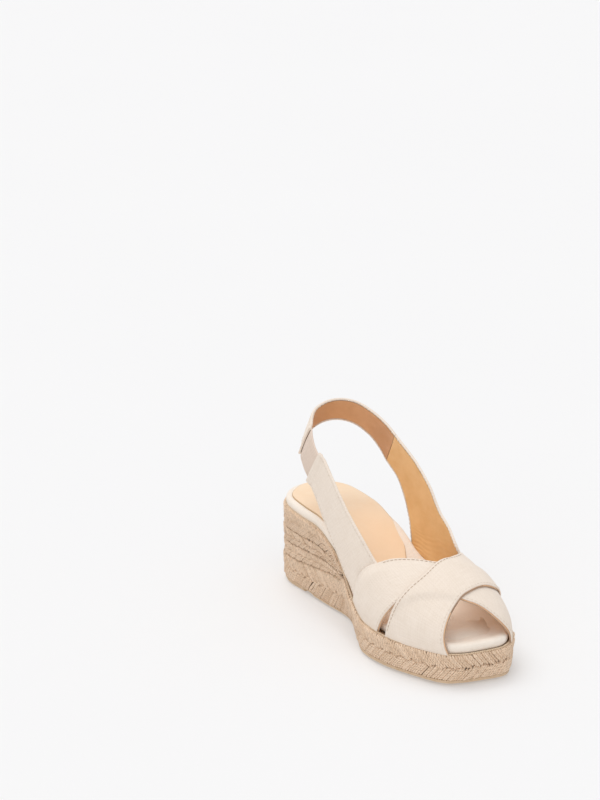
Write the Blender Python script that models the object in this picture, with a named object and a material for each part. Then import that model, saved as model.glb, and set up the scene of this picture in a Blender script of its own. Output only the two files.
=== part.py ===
"""Wedge espadrille sandal with crossed vamp bands and a slingback strap, right foot.

Lengths are in millimetres and are scaled to metres when a mesh is made.
+X is the inner (medial) side, -Y the toe, +Y the heel, +Z up.
"""
import math
import bpy
import numpy as np
from mathutils import Vector

# ---- driving dimensions (mm) -------------------------------------------------
MM = 0.001
GAP = 0.3                     # clearance kept between touching pieces
ROW_GAP = 1.0                 # clearance between jute rows, and to the core, as their faces are twisted
RUBBER = 4.0                  # thickness of the rubber soles
WAIST_LIFT = 3.0              # height of the jute above the ground under the arch
PLATFORM_TOP = 23.0           # feather line height at the forefoot
HEEL_RISE = 37.0              # how much higher the feather line is at the heel
SLOPE_START = -42.0           # where the footbed starts to climb
SLOPE_LENGTH = 100.0
JUTE = 5.0                    # thickness of the plaited jute wall
BOARD = 1.8
FOAM = 2.6
COVER = 1.2                   # canvas cover of the footbed
SOCK = 1.0
FOOTBED = 6.5                 # top of the footbed cover above the feather line
FOREFOOT_REAR = -22.0         # rear edge of the forefoot outsole
HEEL_FRONT = 74.0             # front step of the heel top piece
LINING = 0.7
CANVAS = 1.0
LAYER_GAP = 0.5               # clearance between the layers of the vamp
HINGE_Y = 0.0                 # axis that the sling bends about
HINGE_Z = 62.0
HINGE_RADIUS = 25.0
MIDDLE = Vector((-1.6, -0.9, 0.0))   # middle of the whole sandal, which becomes the origin

# Outline stations from heel to toe: (y, lateral x, medial x), the ends are single points.
HEEL_END_TOP = (0.0, 118.0)
HEEL_END_GROUND = (0.0, 115.5)
TOE_END_TOP = (2.0, -119.0)
TOE_END_GROUND = (2.5, -116.4)
TOP_STATIONS = [
    ((-18.0, 113.0), (17.0, 112.0)),
    ((-29.0, 98.0), (25.0, 96.0)),
    ((-32.0, 72.0), (26.0, 72.0)),
    ((-31.5, 44.0), (24.5, 44.0)),
    ((-33.5, 15.0), (25.5, 14.0)),
    ((-40.0, -12.0), (31.0, -14.0)),
    ((-45.5, -40.0), (39.0, -42.0)),
    ((-44.8, -66.0), (42.0, -68.0)),
    ((-36.5, -90.0), (38.5, -92.0)),
    ((-26.0, -108.0), (29.0, -110.0)),
    ((-15.0, -116.0), (17.0, -119.0)),
]
GROUND_STATIONS = [
    ((-18.5, 110.5), (16.5, 110.0)),
    ((-27.3, 96.0), (24.0, 95.0)),
    ((-26.5, 71.0), (24.5, 71.0)),
    ((-25.0, 42.0), (21.5, 42.0)),
    ((-23.5, 12.0), (20.5, 12.0)),
    ((-35.0, -16.0), (27.5, -16.0)),
    ((-44.6, -39.0), (37.5, -41.0)),
    ((-42.8, -64.0), (40.5, -66.0)),
    ((-34.4, -88.0), (37.2, -91.0)),
    ((-24.9, -106.5), (27.0, -109.0)),
    ((-14.0, -112.8), (17.5, -117.6)),
]
STEPS_PER_STATION = 3

# ---- materials ---------------------------------------------------------------
COLOURS = {
    "rubber": ((0.56, 0.40, 0.22), 0.7),
    "core": ((0.45, 0.30, 0.16), 0.9),
    "jute": ((0.66, 0.50, 0.30), 0.95),
    "board": ((0.40, 0.31, 0.20), 0.9),
    "foam": ((0.80, 0.76, 0.68), 0.95),
    "canvas": ((0.85, 0.77, 0.67), 0.9),
    "lining_canvas": ((0.78, 0.66, 0.52), 0.9),
    "tan_leather": ((0.60, 0.33, 0.12), 0.5),
    "sock_leather": ((0.88, 0.62, 0.38), 0.5),
    "elastic": ((0.80, 0.72, 0.62), 0.9),
}


def material(name):
    """Return the named material, made on first use."""
    found = bpy.data.materials.get(name)
    if found:
        return found
    colour, roughness = COLOURS[name]
    made = bpy.data.materials.new(name)
    made.use_nodes = True
    shader = made.node_tree.nodes["Principled BSDF"]
    shader.inputs["Base Color"].default_value = (*colour, 1.0)
    shader.inputs["Roughness"].default_value = roughness
    shader.inputs["Metallic"].default_value = 0.0
    return made


# ---- curves and profiles -----------------------------------------------------
def smooth(t):
    """Smoothstep from 0 to 1, flat outside."""
    t = min(max(t, 0.0), 1.0)
    return t * t * (3.0 - 2.0 * t)


def catmull(a, b, c, d, t):
    """Point on the Catmull-Rom curve between b and c."""
    a, b, c, d = (np.asarray(p, float) for p in (a, b, c, d))
    return 0.5 * (2 * b + (c - a) * t + (2 * a - 5 * b + 4 * c - d) * t**2
                  + (3 * b - a - 3 * c + d) * t**3)


def closed_curve(points, steps):
    """Closed smooth curve through the points, with steps pieces per span."""
    count = len(points)
    curve = []
    for i in range(count):
        window = [points[(i + k) % count] for k in (-1, 0, 1, 2)]
        curve += [catmull(*window, step / steps) for step in range(steps)]
    return np.array(curve)


def open_curve(points, count):
    """Open smooth curve through the points, read at count even parameters."""
    points = [np.asarray(p, float) for p in points]
    points = [2 * points[0] - points[1]] + points + [2 * points[-1] - points[-2]]
    spans = len(points) - 3
    curve = []
    for k in range(count):
        u = k / (count - 1) * spans
        i = min(int(u), spans - 1)
        curve.append(catmull(*points[i:i + 4], u - i))
    return np.array(curve)


def outline(heel_end, stations, toe_end):
    """Closed plan outline: heel end, lateral side to the toe, medial side back."""
    lateral = [pair[0] for pair in stations]
    medial = [pair[1] for pair in reversed(stations)]
    return closed_curve([heel_end] + lateral + [toe_end] + medial, STEPS_PER_STATION)


def feather(y):
    """Height of the feather line, the top of the jute."""
    return PLATFORM_TOP + HEEL_RISE * smooth((y - SLOPE_START) / SLOPE_LENGTH)


def base_band_top(y):
    """Upper edge of the wide base plait: it climbs to the feather line at the waist."""
    fan = 22.0 + 9.0 * smooth((100.0 - y) / 90.0)
    return fan + (feather(y) - fan) * smooth((20.0 - y) / 22.0)


def row_edge(y, share):
    """Edge between two plait rows, at a share of the height between band and feather."""
    low = base_band_top(y)
    return low + (feather(y) - low) * share


def underside(y):
    """Lower edge of the jute: above the rubber, and lower under the arch."""
    into_waist = smooth((y - FOREFOOT_REAR - 10.0) / 6.0) * smooth((HEEL_FRONT - 10.0 - y) / 6.0)
    return RUBBER + GAP - (RUBBER + GAP - WAIST_LIFT) * into_waist


def inward(loop, distance):
    """Move each point of a closed plan loop inward; distance is a number or f(y)."""
    ahead = np.roll(loop, -1, axis=0) - np.roll(loop, 1, axis=0)
    normal = np.stack([-ahead[:, 1], ahead[:, 0]], axis=1)
    normal /= np.linalg.norm(normal, axis=1)[:, None]
    amount = [distance(y) if callable(distance) else distance for y in loop[:, 1]]
    return loop + normal * np.array(amount)[:, None]


TOP = outline(HEEL_END_TOP, TOP_STATIONS, TOE_END_TOP)
GROUND = outline(HEEL_END_GROUND, GROUND_STATIONS, TOE_END_GROUND)
RING = len(TOP)


def wall(height, inset=0.0):
    """Ring of points on the side wall at the height given by f(y), moved inward."""
    flat = []
    for low, high in zip(GROUND, TOP):
        share = min(height(high[1]) / feather(high[1]), 1.0)
        flat.append(low + (high - low) * share)
    flat = inward(np.array(flat), inset)
    return np.array([(x, y, height(y)) for x, y in flat])


# ---- mesh building -----------------------------------------------------------
def make_object(name, points, faces, material_name):
    """Make one object from millimetre points, with faces turned outward."""
    mesh = bpy.data.meshes.new(name)
    mesh.from_pydata([(Vector(p) - MIDDLE) * MM for p in points], [], faces)
    mesh.materials.append(material(material_name))
    mesh.validate()
    mesh.update()
    volume = 0.0
    for face in mesh.polygons:
        corners = [mesh.vertices[i].co for i in face.vertices]
        for b, c in zip(corners[1:], corners[2:]):
            volume += corners[0].dot(b.cross(c))
    if volume < 0:
        mesh.flip_normals()
    mesh.shade_smooth()
    mesh.set_sharp_from_angle(angle=math.radians(40))
    made = bpy.data.objects.new(name, mesh)
    bpy.context.scene.collection.objects.link(made)
    return made


def ladder(count, start):
    """Faces across a ring from its heel end to its toe end."""
    half = count // 2
    faces = [(start, start + 1, start + count - 1)]
    for i in range(1, half - 1):
        faces.append((start + i, start + i + 1, start + count - i - 1, start + count - i))
    faces.append((start + half - 1, start + half, start + half + 1))
    return faces


def loft(name, rings, material_name):
    """Closed solid through rings of equal length, capped across at both ends."""
    count = len(rings[0])
    points = [p for ring in rings for p in ring]
    faces = []
    for level in range(len(rings) - 1):
        low, high = level * count, (level + 1) * count
        for i in range(count):
            j = (i + 1) % count
            faces.append((low + i, low + j, high + j, high + i))
    faces += [tuple(reversed(face)) for face in ladder(count, 0)]
    faces += ladder(count, (len(rings) - 1) * count)
    return make_object(name, points, faces, material_name)


def tube_strip(name, sections, material_name, closed):
    """Solid swept through four-sided sections, joined end to end when closed."""
    size = len(sections[0])
    points = [p for section in sections for p in section]
    faces = []
    spans = len(sections) if closed else len(sections) - 1
    for k in range(spans):
        here, there = k * size, ((k + 1) % len(sections)) * size
        for i in range(size):
            j = (i + 1) % size
            faces.append((here + i, here + j, there + j, there + i))
    if not closed:
        last = (len(sections) - 1) * size
        faces.append(tuple(range(size - 1, -1, -1)))
        faces.append(tuple(last + i for i in range(size)))
    return make_object(name, points, faces, material_name)


def surface_normals(grid):
    """Unit normals of a grid of points."""
    along = np.gradient(grid, axis=0)
    across = np.gradient(grid, axis=1)
    normal = np.cross(along, across)
    return normal / np.linalg.norm(normal, axis=2)[:, :, None]


def sheet_solid(name, grid, inner, outer, material_name, centre):
    """Thin solid between two offsets of a surface; outward is away from centre.

    inner and outer are offsets in mm, numbers or grids of numbers.
    """
    rows, columns = grid.shape[:2]
    normal = surface_normals(grid)
    middle = grid[rows // 2, columns // 2]
    if np.dot(normal[rows // 2, columns // 2], middle - np.array(centre)) < 0:
        normal = -normal
    ones = np.ones((rows, columns))
    low = grid + normal * (ones * inner)[:, :, None]
    high = grid + normal * (ones * outer)[:, :, None]
    points = list(low.reshape(-1, 3)) + list(high.reshape(-1, 3))
    shift = rows * columns

    def index(i, j):
        return i * columns + j

    faces = []
    for i in range(rows - 1):
        for j in range(columns - 1):
            quad = (index(i, j), index(i + 1, j), index(i + 1, j + 1), index(i, j + 1))
            faces.append(quad)
            faces.append(tuple(shift + k for k in reversed(quad)))
    rim = [index(i, 0) for i in range(rows)]
    rim += [index(rows - 1, j) for j in range(1, columns)]
    rim += [index(i, columns - 1) for i in range(rows - 2, -1, -1)]
    rim += [index(0, j) for j in range(columns - 2, 0, -1)]
    for a, b in zip(rim, rim[1:] + rim[:1]):
        faces.append((b, a, shift + a, shift + b))
    return make_object(name, points, faces, material_name)


# ---- sole unit ---------------------------------------------------------------
def trim_box(name, y_low, y_high):
    """Wire cutter across the whole shoe between two y values, near the ground."""
    x, low, high = 70.0, -5.0, 12.0
    corners = [(sx * x, y, z) for z in (low, high) for y in (y_low, y_high) for sx in (-1, 1)]
    faces = [(0, 1, 3, 2), (4, 6, 7, 5), (0, 4, 5, 1), (2, 3, 7, 6), (0, 2, 6, 4), (1, 5, 7, 3)]
    cutter = make_object(name, corners, faces, "core")
    cutter.hide_render = True
    cutter.display_type = "WIRE"
    return cutter


def cut(target, cutter):
    """Subtract the cutter from the target with an exact Boolean."""
    step = target.modifiers.new("cut", "BOOLEAN")
    step.operation = "DIFFERENCE"
    step.object = cutter
    return step


def build_rubber():
    """Forefoot outsole and heel top piece, each the ground outline cut across."""
    bevel = 0.8
    for name, low, high in (("outsole_forefoot", FOREFOOT_REAR, 200.0),
                            ("heel_top_piece", -200.0, HEEL_FRONT)):
        rings = [wall(lambda y: 0.0, bevel), wall(lambda y: bevel), wall(lambda y: RUBBER)]
        piece = loft(name, rings, "rubber")
        cut(piece, trim_box("trim_" + name, low, high))


def build_core():
    """Wedge core inside the jute wall."""
    inset = JUTE + ROW_GAP
    rings = [wall(lambda y: underside(y) + 0.2, inset),
             wall(lambda y: 0.5 * (feather(y) + underside(y)), inset),
             wall(lambda y: feather(y) - GAP, inset)]
    loft("wedge_core", rings, "core")


def band_sections(lower, upper, indices):
    """Four-sided sections of the jute wall between two height functions."""
    rings = [wall(lower), wall(upper), wall(upper, JUTE), wall(lower, JUTE)]
    return [[ring[i % RING] for ring in rings] for i in indices]


def build_jute():
    """Wide base plait round the whole shoe, and three rows round the wedge."""
    ring = band_sections(underside, lambda y: base_band_top(y) - 0.5 * ROW_GAP, range(RING))
    tube_strip("jute_base_plait", ring, "jute", closed=True)
    row_end_y = 7.0
    reach = [i for i in range(-RING // 2, RING // 2) if TOP[i % RING][1] > row_end_y]
    shares = [0.0, 0.31, 0.60, 1.0]
    for number, name in ((2, "jute_row_upper"), (1, "jute_row_middle"), (0, "jute_row_lower")):
        low, high = shares[number], shares[number + 1]
        sections = band_sections(lambda y: row_edge(y, low) + 0.5 * ROW_GAP,
                                 lambda y: row_edge(y, high) - 0.5 * ROW_GAP, reach)
        tube_strip(name, sections, "jute", closed=False)


# ---- footbed -----------------------------------------------------------------
def footbed_inset(y):
    """Distance of the footbed edge from the jute edge: more where the upper is lasted."""
    return 5.4 - 4.2 * smooth((y + 5.0) / 40.0)


def raised(extra, inset):
    """Ring above the feather line: extra height and inset from the top outline."""
    flat = inward(TOP, lambda y: footbed_inset(y) + inset)
    return np.array([(x, y, feather(y) + extra) for x, y in flat])


def build_footbed():
    """Board and foam inside a canvas cover that is open below."""
    edge = COVER + GAP
    board_top = GAP + BOARD
    foam_top = board_top + GAP + FOAM
    loft("insole_board", [raised(GAP, edge), raised(board_top, edge)], "board")
    loft("insole_foam", [raised(board_top + GAP, edge), raised(foam_top, edge)], "foam")
    rings = [raised(foam_top + GAP, COVER), raised(GAP, COVER), raised(GAP, 0.4),
             raised(1.6, 0.0), raised(FOOTBED - 2.0, 0.0), raised(FOOTBED - 0.6, 0.9),
             raised(FOOTBED, 2.4)]
    loft("footbed_cover", rings, "canvas")


SOCK_STATIONS = [
    ((-13.0, 108.5), (12.0, 108.0)),
    ((-24.5, 96.0), (21.0, 95.0)),
    ((-27.5, 74.0), (22.8, 74.0)),
    ((-27.5, 48.0), (21.8, 48.0)),
    ((-27.0, 20.0), (21.0, 20.0)),
    ((-22.0, 0.0), (14.0, 1.0)),
    ((-13.0, -14.0), (3.0, -14.0)),
]


def build_sock():
    """Leather heel sock: wide under the heel, a rounded tip under the vamp."""
    flat = outline((0.0, 112.5), SOCK_STATIONS, (-5.5, -18.0))
    rings = []
    for height, inset in ((0.0, 0.0), (SOCK - 0.3, 0.0), (SOCK, 0.6)):
        loop = inward(flat, inset)
        base = FOOTBED + GAP + height
        rings.append(np.array([(x, y, feather(y) + base) for x, y in loop]))
    loft("heel_sock", rings, "sock_leather")


# ---- upper -------------------------------------------------------------------
def half_widths(y):
    """Lateral and medial x of the top outline at y."""
    half = RING // 2
    lateral = TOP[:half + 1]
    medial = np.concatenate([TOP[half:], TOP[:1]])[::-1]
    x_lateral = np.interp(-y, -lateral[:, 1], lateral[:, 0])
    x_medial = np.interp(-y, -medial[:, 1], medial[:, 0])
    return x_lateral, x_medial


def vamp_height(y):
    """Height of the vamp dome above the feather line."""
    full, front, fullness, climb_rate, blend = 43.0, 72.0, 1.6, 0.45, 17.3
    back = y + 45.0
    reach = min(max(-back / front, 0.0), 1.0)
    climb = climb_rate * (back + math.hypot(back, blend))
    return full * (1.0 - reach**fullness) ** (1.0 / fullness) + climb


def vamp(y, degrees):
    """Point on the inner surface of the vamp: 0 degrees lateral, 180 medial."""
    squareness = 2.3
    x_lateral, x_medial = half_widths(y)
    inset = 5.0 - 2.6 * smooth((y + 45.0) / 40.0)
    centre = 0.5 * (x_lateral + x_medial)
    width = 0.5 * (x_medial - x_lateral) - inset
    angle = math.radians(degrees)
    side = -math.copysign(abs(math.cos(angle)) ** (2.0 / squareness), math.cos(angle))
    rise = abs(math.sin(angle)) ** (2.0 / squareness)
    z = feather(y) + 0.8 + vamp_height(y) * rise
    return np.array([centre + width * side, y, z])


def band_grid(front, rear, columns=6, rows=25):
    """Grid of a vamp band between two edges given as (degrees, y) points."""
    front_curve = open_curve(front, rows)
    rear_curve = open_curve(rear, rows)
    grid = []
    for a, b in zip(front_curve, rear_curve):
        line = [a + (b - a) * k / (columns - 1) for k in range(columns)]
        grid.append([vamp(y, min(max(degrees, 0.0), 180.0)) for degrees, y in line])
    return np.array(grid)


# Band edges: (degrees round the vamp, y), from the lateral side to the medial side.
OVER_FRONT = [(0, -108.5), (22.5, -104.7), (45, -101.2), (67.5, -97), (90, -92), (112.5, -88.5),
              (135, -86), (157.5, -79), (180, -70)]
OVER_REAR = [(0, -64), (22.5, -67.7), (45, -70), (67.5, -70.4), (90, -65), (112.5, -59), (135, -47),
             (157.5, -32), (180, -16)]
UNDER_FRONT = [(0, -55.5), (22.5, -64.6), (45, -73.8), (67.5, -86), (90, -97.8), (112.5, -106.2),
               (135, -110), (157.5, -111.3), (180, -112)]
UNDER_REAR = [(0, -16), (22.5, -24.5), (45, -37.5), (67.5, -52), (90, -66), (112.5, -71), (135, -73),
              (157.5, -75), (180, -76)]
VAMP_CENTRE = (0.0, -60.0, 10.0)


def build_vamp():
    """Two crossed bands, each canvas over a lining; the over band rises over the other."""
    under = band_grid(UNDER_FRONT, UNDER_REAR)
    low = LINING + GAP + CANVAS + LAYER_GAP
    sheet_solid("vamp_under_lining", under, low, low + LINING, "lining_canvas", VAMP_CENTRE)
    low += LINING + LAYER_GAP
    sheet_solid("vamp_under_band", under, low, low + CANVAS, "canvas", VAMP_CENTRE)
    over = band_grid(OVER_FRONT, OVER_REAR)
    low += CANVAS + LAYER_GAP
    sheet_solid("vamp_over_lining", over, low, low + LINING, "lining_canvas", VAMP_CENTRE)
    low += LINING + LAYER_GAP
    sheet_solid("vamp_over_band", over, low, low + CANVAS, "canvas", VAMP_CENTRE)


# Strap surfaces: three lines each (front or top edge, middle, rear or lower edge).
LATERAL_STRAP = [
    [vamp(-42, 44), (-31, -31, 64.5), (-33.5, -17, 78), (-34.8, -1, 91), (-35, 19, 108.4), (-33.3, 36.6, 121.4)],
    [vamp(-33, 22), (-36, -23, 52), (-37.5, -7, 67), (-37.5, 10, 81), (-37.2, 26, 96.5), (-35.3, 43.5, 108.5)],
    [vamp(-21, 1), (-38, -13, 37), (-38.5, 3, 54), (-38.5, 20, 71), (-38, 33, 85), (-36, 49.5, 97)],
]
MEDIAL_STRAP = [
    [vamp(-50, 179), vamp(-48, 155), (27.6, -42, 64.5), (30, -28, 73.5), (31, -14, 81), (31.5, 1, 96),
     (31, 18, 108), (29, 42.5, 121)],
    [vamp(-20, 179), (30, -19, 46), (30.3, -14, 57), (30.8, -5, 67), (31.2, 5, 75.5), (31.5, 19, 86),
     (31, 31, 98), (29.5, 48, 109.5)],
    [vamp(13, 179), (25.6, 14.5, 49), (26.9, 17.8, 56), (28.2, 21.7, 63.3), (29.3, 26.2, 69.6), (30.5, 33, 78),
     (31, 42.6, 88.2), (29.5, 54.6, 96.8)],
]
HEEL_STRAP = [
    [(29, 43.4, 121.4), (28.5, 53, 126), (25.5, 66, 131.5), (19, 78, 137), (10, 85, 139), (0, 87.5, 138),
     (-9.5, 86, 134.6), (-16, 80, 130.6), (-21.6, 70.6, 126)],
    [(29.4, 48.9, 109.9), (28.8, 58.5, 115.5), (26, 70, 121.5), (19.5, 80, 127), (10.5, 87, 129.5), (0, 89.5, 129),
     (-11, 88, 125.8), (-19.5, 82, 121.3), (-25.5, 72.5, 116)],
    [(29.4, 55.5, 97.2), (28.8, 64, 104.3), (26, 74, 111.8), (19.5, 83, 118), (10.5, 89, 120.8), (0, 91, 120.8),
     (-11, 89.5, 117.8), (-21, 83.5, 112.6), (-28.5, 74, 106.5)],
]
ELASTIC = [
    [(-33.5, 38.6, 119.8), (-31, 50, 123), (-27.2, 60.8, 125), (-22.2, 70.0, 125.8)],
    [(-35.5, 44.1, 108.8), (-33.5, 54, 112.5), (-30.5, 63.5, 115), (-26.1, 71.9, 115.8)],
    [(-36.0, 50.1, 97.3), (-34.5, 58.5, 101), (-32, 66.5, 104), (-29.1, 73.4, 106.3)],
]


def ribbon_grid(lines, rows, columns):
    """Grid of a strap through its three lines, curved across its width."""
    curves = [open_curve(line, rows) for line in lines]
    grid = []
    for front, middle, rear in zip(*curves):
        cross = []
        for k in range(columns):
            t = k / (columns - 1)
            weights = ((1 - t) * (1 - 2 * t), 4 * t * (1 - t), t * (2 * t - 1))
            cross.append(weights[0] * front + weights[1] * middle + weights[2] * rear)
        grid.append(cross)
    return np.array(grid)


def bend_cutter(name, radius, above):
    """Wire prism across the shoe, split along the arc that the sling bends about.

    The sling side lies outside the arc between the two rays, the sewn base inside.
    """
    rear_ray, front_ray, far = -2.0, 128.0, 160.0
    arc = [rear_ray + (front_ray - rear_ray) * k / 24 for k in range(25)]
    border = [(radius, angle) for angle in arc]
    if above:
        back = [front_ray + (rear_ray - front_ray) * k / 4 for k in range(5)]
    else:
        back = [front_ray + (rear_ray + 360.0 - front_ray) * k / 8 for k in range(9)]
    border += [(far, angle) for angle in back]
    half_width = 60.0
    points = []
    for x in (-half_width, half_width):
        for r, angle in border:
            a = math.radians(angle)
            points.append((x, HINGE_Y + r * math.cos(a), HINGE_Z + r * math.sin(a)))
    count = len(border)
    faces = [tuple(range(count)), tuple(range(2 * count - 1, count - 1, -1))]
    for i in range(count):
        j = (i + 1) % count
        faces.append((i, i + count, j + count, j))
    cutter = make_object(name, points, faces, "core")
    cutter.hide_render = True
    cutter.display_type = "WIRE"
    return cutter


def build_quarter_straps():
    """Quarter straps, each layer split into a sewn base and a free strap."""
    base_cutter = bend_cutter("bend_above", HINGE_RADIUS, above=True)
    sling_cutter = bend_cutter("bend_below", HINGE_RADIUS + 2 * GAP, above=False)
    layers = (("lining", 0.0, LINING, "tan_leather"),
              ("canvas", LINING + GAP, LINING + GAP + CANVAS, "canvas"))
    for side, lines in (("lateral", LATERAL_STRAP), ("medial", MEDIAL_STRAP)):
        grid = ribbon_grid(lines, 19, 5)
        for layer, inner, outer, finish in layers:
            for part, cutter in (("base", base_cutter), ("strap", sling_cutter)):
                name = side + "_" + part + "_" + layer
                piece = sheet_solid(name, grid, inner, outer, finish, (0.0, 0.0, 70.0))
                cut(piece, cutter)


def build_heel_strap():
    """Heel strap of canvas over leather, and the elastic that joins it laterally."""
    heel = ribbon_grid(HEEL_STRAP, 25, 4)
    centre = (0.0, 40.0, 115.0)
    sheet_solid("heel_strap_lining", heel, 0.0, LINING, "tan_leather", centre)
    low = LINING + GAP
    sheet_solid("heel_strap_canvas", heel, low, low + CANVAS, "canvas", centre)
    elastic = ribbon_grid(ELASTIC, 7, 4)
    sheet_solid("heel_elastic", elastic, 0.2, 1.6, "elastic", (0.0, 40.0, 110.0))


def main():
    """Remove the scene's objects and build the sandal."""
    for old in list(bpy.data.objects):
        bpy.data.objects.remove(old, do_unlink=True)
    build_rubber()
    build_core()
    build_jute()
    build_footbed()
    build_sock()
    build_vamp()
    build_quarter_straps()
    build_heel_strap()


main()
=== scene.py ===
"""Looks of the wedge espadrille sandal: plaited jute, canvas, leather and stitching.

Shapes are worked out in millimetres in the design's own coordinates, and moved to the
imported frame, in metres, when a mesh is made.
+X is the inner (medial) side of the right foot, -Y the toe, +Y the heel, +Z up.
"""

import math

import bmesh
import bpy
import numpy as np
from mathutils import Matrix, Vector, noise


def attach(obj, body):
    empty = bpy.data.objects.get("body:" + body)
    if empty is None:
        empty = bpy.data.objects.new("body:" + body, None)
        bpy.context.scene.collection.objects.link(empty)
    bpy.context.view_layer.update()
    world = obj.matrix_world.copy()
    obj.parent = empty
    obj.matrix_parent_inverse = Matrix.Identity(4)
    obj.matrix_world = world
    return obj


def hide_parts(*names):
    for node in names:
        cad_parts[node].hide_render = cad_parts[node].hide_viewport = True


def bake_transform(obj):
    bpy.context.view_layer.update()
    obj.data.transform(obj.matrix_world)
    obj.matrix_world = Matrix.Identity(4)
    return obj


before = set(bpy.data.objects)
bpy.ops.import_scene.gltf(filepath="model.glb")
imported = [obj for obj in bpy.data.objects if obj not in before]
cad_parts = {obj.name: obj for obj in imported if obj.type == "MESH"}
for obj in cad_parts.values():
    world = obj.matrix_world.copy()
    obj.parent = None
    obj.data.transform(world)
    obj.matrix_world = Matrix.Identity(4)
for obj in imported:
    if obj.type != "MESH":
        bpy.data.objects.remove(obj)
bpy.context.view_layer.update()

# ---- driving dimensions (mm) -------------------------------------------------
MM = 0.001
MIDDLE = np.array([-1.6, -0.9, 0.0])    # design point that is the frame's origin
RUBBER = 4.0                            # thickness of the outsole and the heel top piece
TOE_SPRING = 0.5                        # rise of the outsole's underside at the toe
PLATFORM_TOP = 23.0                     # height of the feather line at the forefoot
HEEL_RISE = 37.0                        # how much higher the feather line is at the heel
SLOPE_START = -42.0                     # y where the feather line starts to climb
SLOPE_LENGTH = 100.0                    # length of the climb in y
FOREFOOT_REAR = -22.0                   # y of the forefoot outsole's rear end
HEEL_FRONT = 74.0                       # y of the heel top piece's front
WAIST_LIFT = 3.0                        # height of the jute's lower edge under the arch
FOOTBED = 6.5                           # height of the footbed above the feather line
LINING = 0.7                            # thickness of a strap's lining
CANVAS = 1.0                            # thickness of a strap's canvas
SEAM = 1.7                              # distance of a stitch row from the edge of the canvas
LOOSE_FIBRES = 1500
ROW_SHARES = [0.0, 0.31, 0.60, 1.0]     # edges of the plait rows, from the base band to the feather line
ROW_GAP = 0.5                           # groove between two plait rows
LEAST_HALF = 1.6                        # a row that is narrower than twice this has no plait
RANDOM = np.random.default_rng(11)

HEEL_END_TOP = (0.0, 118.0)
HEEL_END_GROUND = (0.0, 115.5)
TOE_END_TOP = (2.0, -119.0)
TOE_END_GROUND = (2.5, -116.4)
TOP_STATIONS = [
    ((-18.0, 113.0), (17.0, 112.0)),
    ((-29.0, 98.0), (25.0, 96.0)),
    ((-32.0, 72.0), (26.0, 72.0)),
    ((-31.5, 44.0), (24.5, 44.0)),
    ((-33.5, 15.0), (25.5, 14.0)),
    ((-40.0, -12.0), (31.0, -14.0)),
    ((-45.5, -40.0), (39.0, -42.0)),
    ((-44.8, -66.0), (42.0, -68.0)),
    ((-36.5, -90.0), (38.5, -92.0)),
    ((-26.0, -108.0), (29.0, -110.0)),
    ((-15.0, -116.0), (17.0, -119.0)),
]
GROUND_STATIONS = [
    ((-18.5, 110.5), (16.5, 110.0)),
    ((-27.3, 96.0), (24.0, 95.0)),
    ((-26.5, 71.0), (24.5, 71.0)),
    ((-25.0, 42.0), (21.5, 42.0)),
    ((-23.5, 12.0), (20.5, 12.0)),
    ((-35.0, -16.0), (27.5, -16.0)),
    ((-44.6, -39.0), (37.5, -41.0)),
    ((-42.8, -64.0), (40.5, -66.0)),
    ((-34.4, -88.0), (37.2, -91.0)),
    ((-24.9, -106.5), (27.0, -109.0)),
    ((-14.0, -112.8), (17.5, -117.6)),
]
SOCK_STATIONS = [
    ((-13.0, 108.5), (12.0, 108.0)),
    ((-24.5, 96.0), (21.0, 95.0)),
    ((-27.5, 74.0), (22.8, 74.0)),
    ((-27.5, 48.0), (21.8, 48.0)),
    ((-27.0, 20.0), (21.0, 20.0)),
    ((-22.0, 0.0), (14.0, 1.0)),
    ((-13.0, -14.0), (3.0, -14.0)),
]
STEPS_PER_STATION = 16


# ---- curves and design surfaces ----------------------------------------------
def smooth(t):
    """Smoothstep from 0 to 1, flat outside; numbers or arrays."""
    t = np.clip(t, 0.0, 1.0)
    return t * t * (3.0 - 2.0 * t)


def catmull(a, b, c, d, t):
    """Point on the Catmull-Rom curve between b and c."""
    a, b, c, d = (np.asarray(p, float) for p in (a, b, c, d))
    return 0.5 * (2 * b + (c - a) * t + (2 * a - 5 * b + 4 * c - d) * t**2
                  + (3 * b - a - 3 * c + d) * t**3)


def closed_curve(points, steps):
    """Closed smooth curve through the points, with steps pieces per span."""
    count = len(points)
    curve = []
    for i in range(count):
        window = [points[(i + k) % count] for k in (-1, 0, 1, 2)]
        curve += [catmull(*window, step / steps) for step in range(steps)]
    return np.array(curve)


def open_curve(points, count):
    """Open smooth curve through the points, read at count even parameters."""
    points = [np.asarray(p, float) for p in points]
    points = [2 * points[0] - points[1]] + points + [2 * points[-1] - points[-2]]
    spans = len(points) - 3
    curve = []
    for k in range(count):
        u = k / (count - 1) * spans
        i = min(int(u), spans - 1)
        curve.append(catmull(*points[i:i + 4], u - i))
    return np.array(curve)


def outline(heel_end, stations, toe_end, steps=STEPS_PER_STATION):
    """Closed plan outline: heel end, lateral side to the toe, medial side back."""
    lateral = [pair[0] for pair in stations]
    medial = [pair[1] for pair in reversed(stations)]
    return closed_curve([heel_end] + lateral + [toe_end] + medial, steps)


def feather(y):
    """Height of the feather line, the top of the jute."""
    return PLATFORM_TOP + HEEL_RISE * smooth((y - SLOPE_START) / SLOPE_LENGTH)


def base_band_top(y):
    """Upper edge of the wide base plait: it climbs to the feather line at the waist."""
    fan = 22.0 + 9.0 * smooth((100.0 - y) / 90.0)
    return fan + (feather(y) - fan) * smooth((20.0 - y) / 22.0)


def row_edge(y, share):
    """Edge between two plait rows, at a share of the height between band and feather."""
    low = base_band_top(y)
    return low + (feather(y) - low) * share


def underside(y):
    """Lower edge of the jute: above the rubber, and lower under the arch."""
    into_waist = smooth((y - FOREFOOT_REAR - 10.0) / 6.0) * smooth((HEEL_FRONT - 10.0 - y) / 6.0)
    return RUBBER + 0.3 - (RUBBER + 0.3 - WAIST_LIFT) * into_waist


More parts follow.
